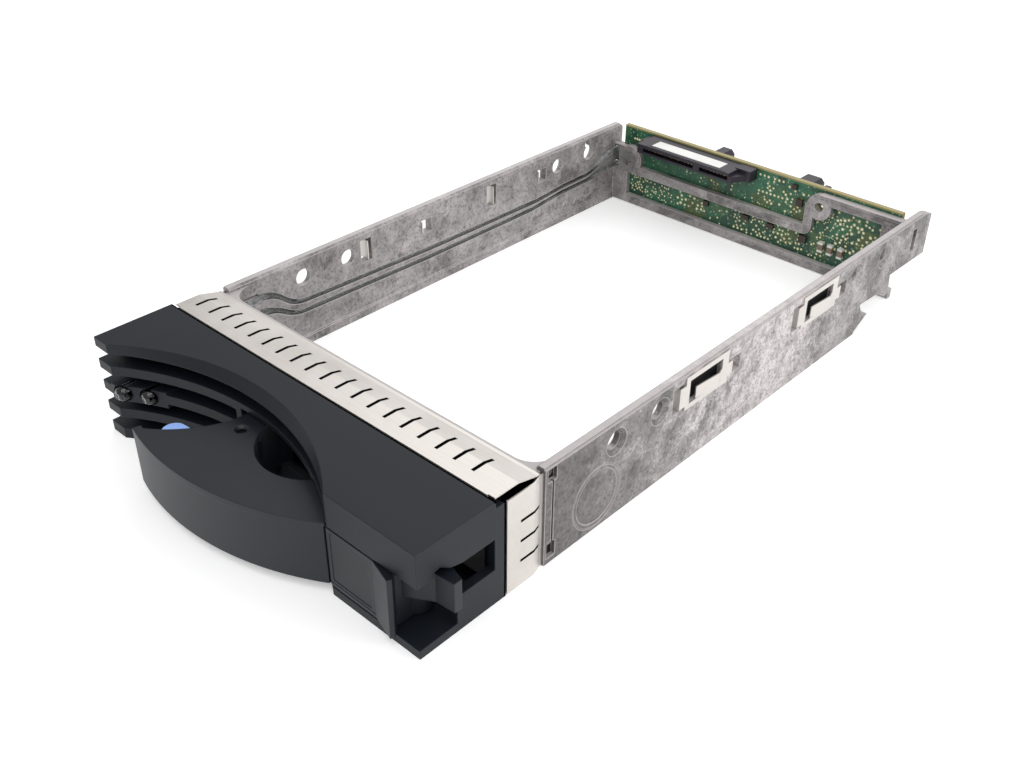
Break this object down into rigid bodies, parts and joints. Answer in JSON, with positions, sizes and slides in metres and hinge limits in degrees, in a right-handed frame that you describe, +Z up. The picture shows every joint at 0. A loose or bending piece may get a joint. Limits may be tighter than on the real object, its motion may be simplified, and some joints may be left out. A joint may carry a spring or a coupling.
{
  "type": "hot swap drive caddy",
  "caption": "Die cast hot swap caddy for one 3.5 inch disk drive, with a black louvred bezel, swing-out lever handle, blue release tab and an interposer board",
  "frame": {"origin": "on the resting plane, below the middle of the closed caddy's bounding box", "axes": "+X to the right seen from the front, +Y back towards the interposer board, +Z up"},
  "size_m": [0.112, 0.212, 0.0263],
  "materials": {
    "die_cast": "as cast, mottled grey with scuffs",
    "black_moulding": "satin dark slate moulding",
    "blue_moulding": "light blue touch tab",
    "stainless": "bright rolled stainless sheet",
    "spring_wire": "drawn spring wire",
    "steel_pin": "ground pin",
    "dark_pin": "blackened pin",
    "label_plate": "bare dark plate",
    "clear_moulding": "clear polished moulding",
    "circuit_board": "green solder mask",
    "plum_moulding": "plum black connector moulding",
    "gold_contact": "plated contacts",
    "white_label": "bare white strip",
    "ceramic_part": "ceramic capacitor body",
    "chip_package": "small moulded package"
  },
  "bodies": {
    "tray": {"tray_casting": "die_cast", "front_bezel": "black_moulding", "handle_pivot_pin": "steel_pin", "handle_spring": "spring_wire", "contact_strip_top": "stainless", "contact_strip_right": "stainless", "contact_strip_left": "stainless", "light_pipe_upper": "clear_moulding", "light_pipe_lower": "clear_moulding", "spring_clip_right_front": "stainless", "spring_clip_right_rear": "stainless", "spring_clip_left_front": "stainless", "spring_clip_left_rear": "stainless", "interposer_board": "circuit_board", "drive_connector": "plum_moulding", "drive_connector_contacts": "gold_contact", "pick_cap": "white_label", "backplane_connector": "plum_moulding", "backplane_contacts": "gold_contact", "board_screw": "steel_pin", "board_capacitors": "ceramic_part", "board_chips": "chip_package", "status_leds": "clear_moulding"},
    "handle": {"lever_handle": "black_moulding", "handle_label": "label_plate", "latch_pivot_pin": "dark_pin", "latch_spring": "spring_wire"},
    "latch": {"release_latch": "blue_moulding"}
  },
  "joints": [
    {"name": "handle_swing", "type": "hinge", "parent": "tray", "child": "handle", "pos_m": [0.04242, -0.0867, 0.01], "axis": [0, 0, 1], "range_deg": [0, 60]},
    {"name": "latch_press", "type": "hinge", "parent": "handle", "child": "latch", "pos_m": [-0.01043, -0.0876, 0.0155], "axis": [0, 0, 1], "range_deg": [0, 12], "stiffness_Nm_per_rad": 0.12, "springref_deg": -5.73}
  ]
}
